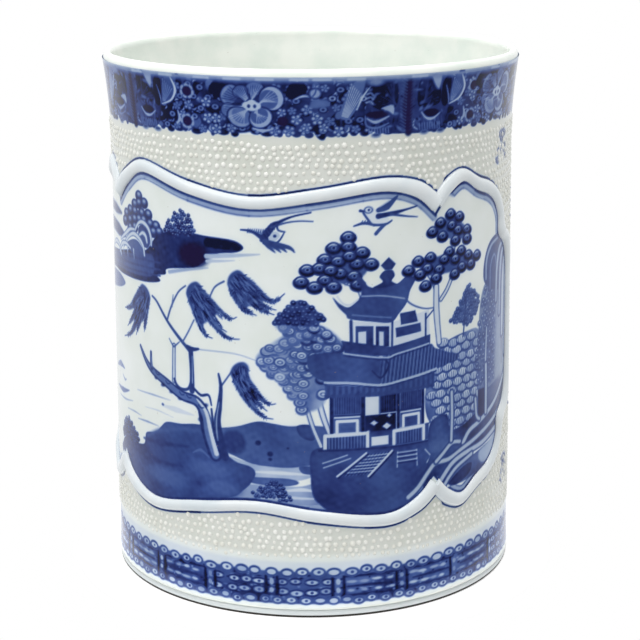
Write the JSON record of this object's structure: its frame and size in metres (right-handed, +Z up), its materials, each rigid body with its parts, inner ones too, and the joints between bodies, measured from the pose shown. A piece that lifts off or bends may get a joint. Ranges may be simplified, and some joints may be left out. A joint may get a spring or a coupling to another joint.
{
  "type": "brush pot",
  "caption": "Cylindrical porcelain brush pot with a flared lip, a foot ring, and a large and a small lobed relief frame on its wall.",
  "frame": {"origin": "centre of the plane that the foot ring rests on", "axes": "+Z up through the mouth; the middle of the large panel faces -Y and the small panel faces +Y"},
  "size_m": [0.11, 0.1104, 0.14],
  "materials": {
    "glazed_porcelain": "clear pale bluish-white glaze over underglaze cobalt painting, glossy",
    "white_frame": "white relief strip under clear glaze, glossy",
    "unglazed_biscuit": "bare fired porcelain clay, matt"
  },
  "bodies": {
    "root": {"body_wall": "glazed_porcelain", "floor_disc": "glazed_porcelain", "foot_ring": "unglazed_biscuit", "front_frame_top": "white_frame", "front_frame_bottom": "white_frame", "front_frame_left_end": "white_frame", "front_frame_right_end": "white_frame", "back_frame_top": "white_frame", "back_frame_bottom": "white_frame", "back_frame_left_end": "white_frame", "back_frame_right_end": "white_frame"}
  },
  "joints": []
}
